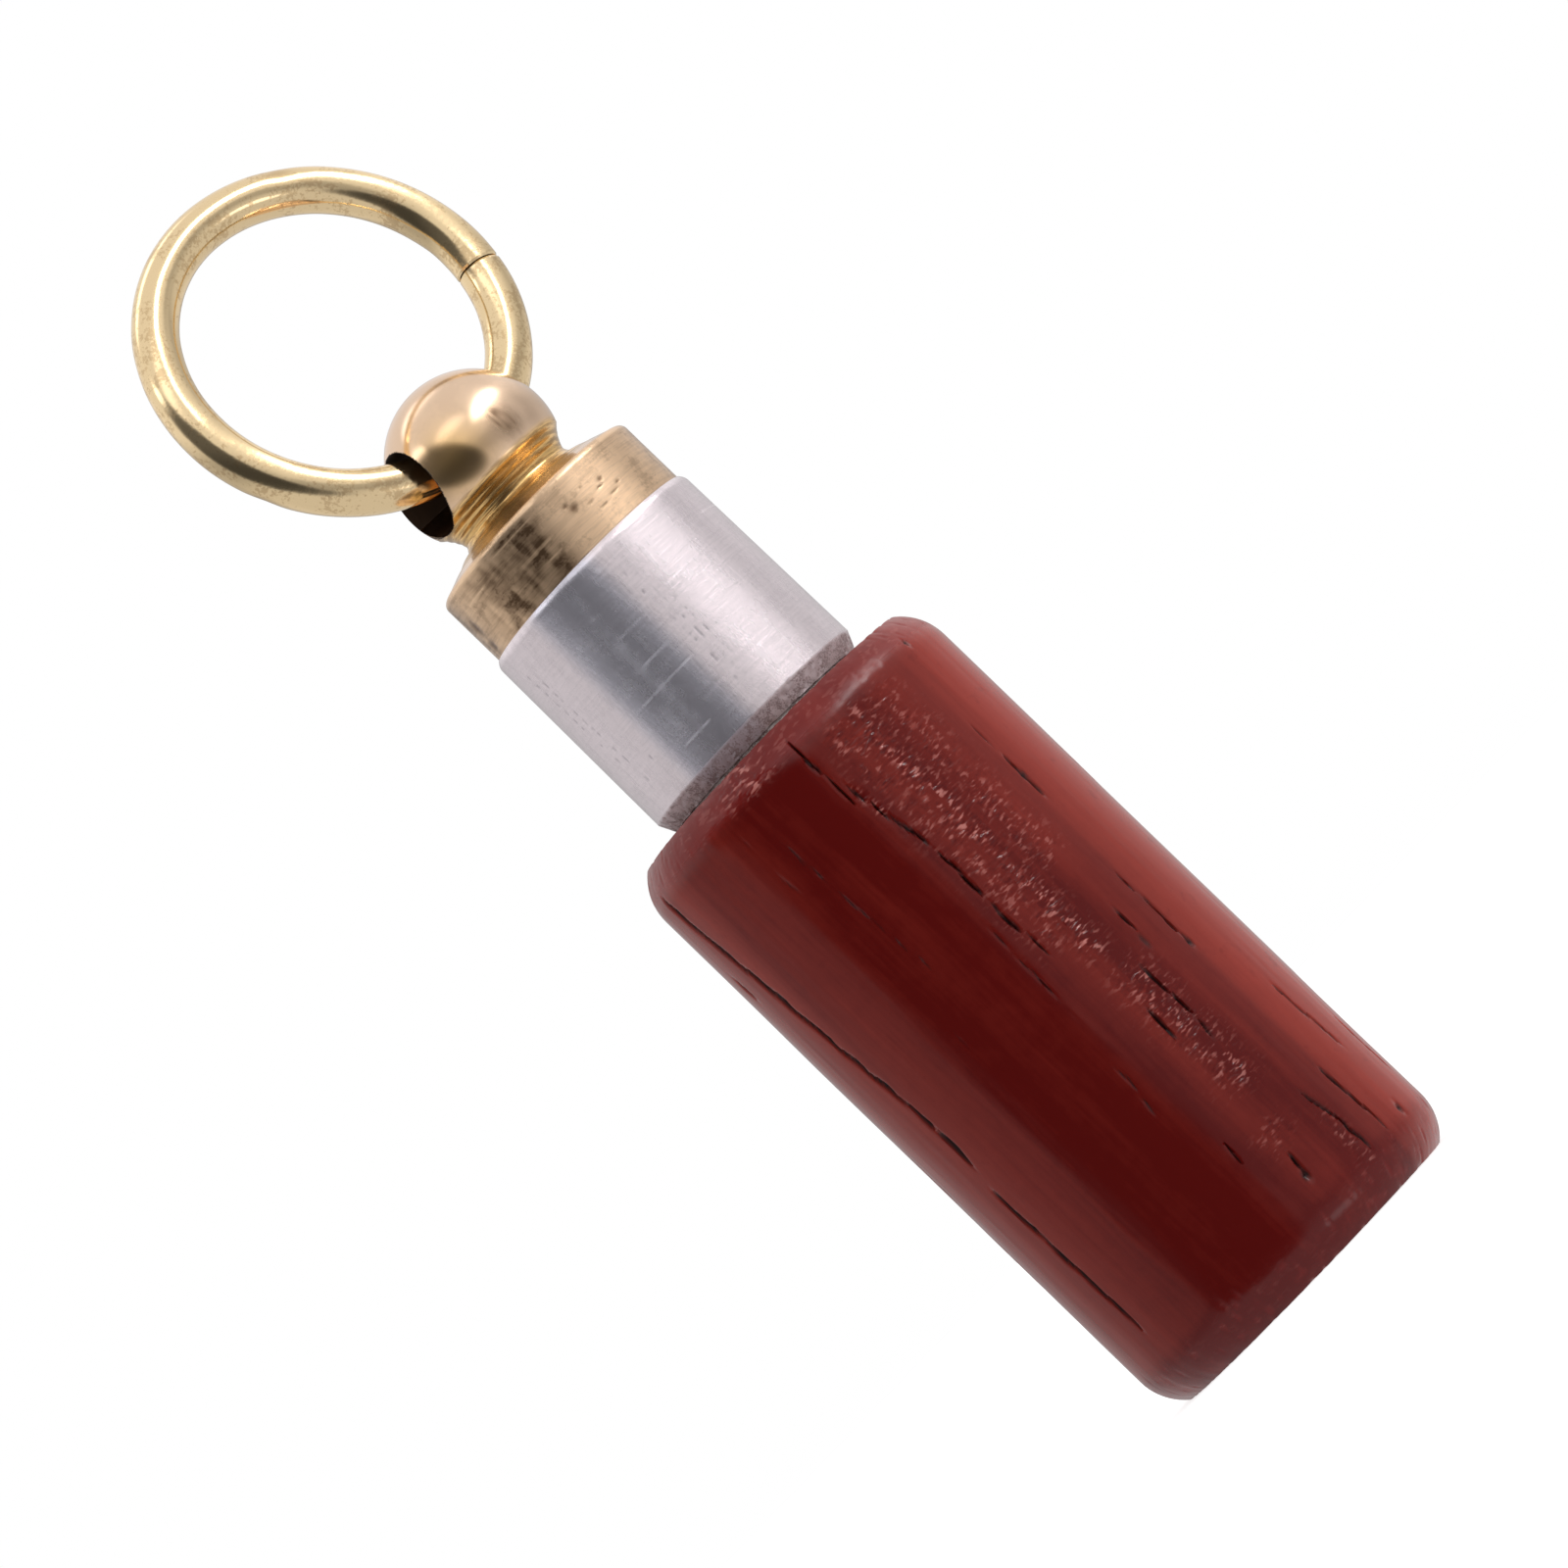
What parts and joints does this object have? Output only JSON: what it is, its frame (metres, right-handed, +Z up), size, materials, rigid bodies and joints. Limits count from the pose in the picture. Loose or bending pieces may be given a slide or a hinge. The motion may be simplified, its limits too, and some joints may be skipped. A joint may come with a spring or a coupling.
{
  "type": "bird call",
  "caption": "Twist bird call: a lacquered wooden barrel, an aluminium friction plug that turns in its bore, a brass head with a drilled ball and a swinging wire ring.",
  "frame": {"origin": "centre of the barrel's flat foot, on the bore's axis", "axes": "+Z up the bore's axis from foot to ring, +X along the eye through the ball, +Y the way the ring leans at rest"},
  "size_m": [0.0182, 0.018, 0.07],
  "materials": {
    "lacquered_wood": "open-grained wood under glossy dark red lacquer",
    "turned_aluminium": "fine turning lines, slightly stained",
    "rosin": "dull dusty coat",
    "turned_brass": "polished ball and neck, tarnished brushed flange",
    "brass_wire": "polished drawn wire"
  },
  "bodies": {
    "barrel": {"barrel": "lacquered_wood"},
    "plug": {"plug": "turned_aluminium", "rosin_coat": "rosin", "head": "turned_brass"},
    "ring": {"ring": "brass_wire"}
  },
  "joints": [
    {"name": "plug_twist", "type": "hinge", "parent": "barrel", "child": "plug", "pos_m": [0, 0, 0.0338], "axis": [0, 0, 1], "continuous": true},
    {"name": "ring_swing", "type": "hinge", "parent": "plug", "child": "ring", "pos_m": [0, 0, 0.05285], "axis": [1, 0, 0], "range_deg": [-143.5, 160.5]}
  ]
}
